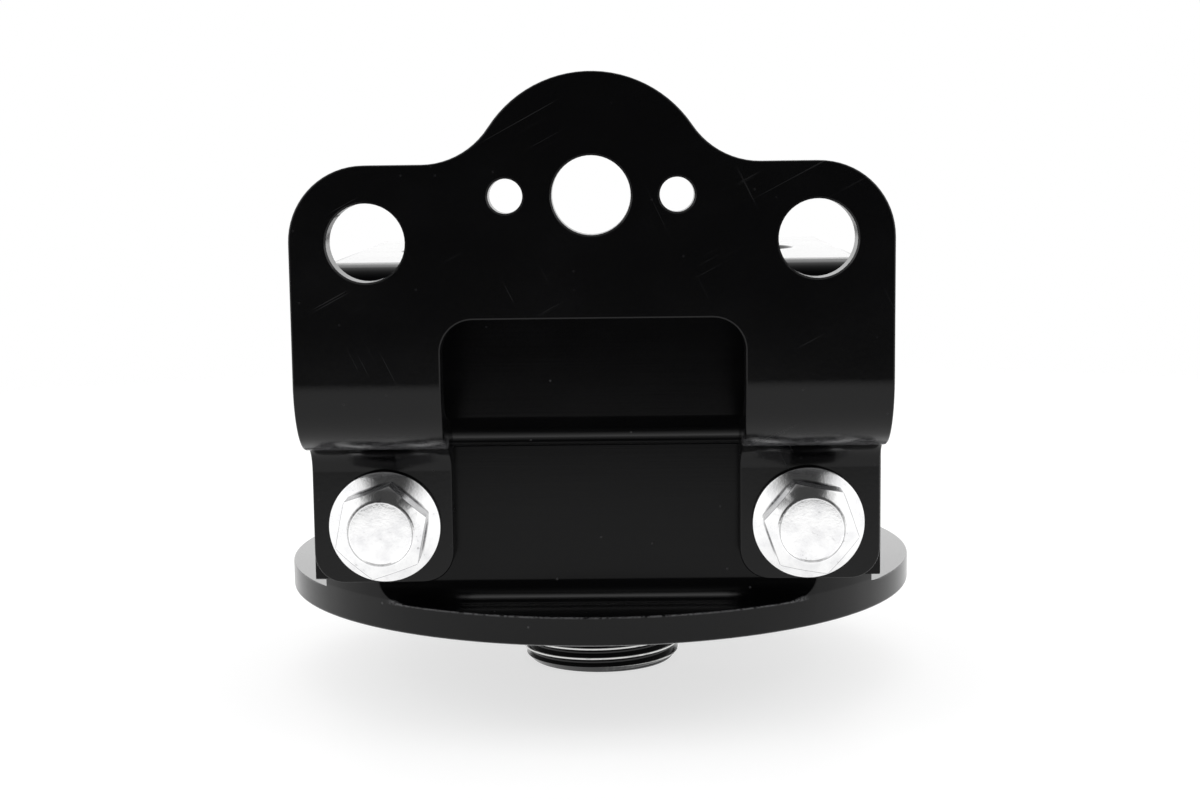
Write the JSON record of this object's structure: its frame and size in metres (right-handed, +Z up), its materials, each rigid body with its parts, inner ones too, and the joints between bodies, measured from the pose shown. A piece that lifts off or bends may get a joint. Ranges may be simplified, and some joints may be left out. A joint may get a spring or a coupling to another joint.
{
  "type": "spin-on filter mounting head",
  "caption": "Black filter head with a round gasket flange, threaded nipple and top ports, bolted to a bent plate bracket.",
  "frame": {"origin": "centre of the gasket face, on the axis of the filter", "axes": "+Z up from the gasket face through the block, -Y towards the bracket, X along the line of the two ports"},
  "size_m": [0.1016, 0.1087, 0.0949],
  "materials": {
    "anodised_block": "black anodised, satin with fine milling lines",
    "dark_nipple": "blackened steel, its thread crests rubbed bright",
    "plug_steel": "black oxide",
    "black_bracket": "satin black over steel plate",
    "zinc_bolt": "bright zinc plate"
  },
  "bodies": {
    "root": {"filter_head": "anodised_block", "filter_nipple": "dark_nipple", "gallery_plug": "plug_steel", "mounting_bracket": "black_bracket", "bracket_bolt_left": "zinc_bolt", "bracket_bolt_right": "zinc_bolt"}
  },
  "joints": []
}
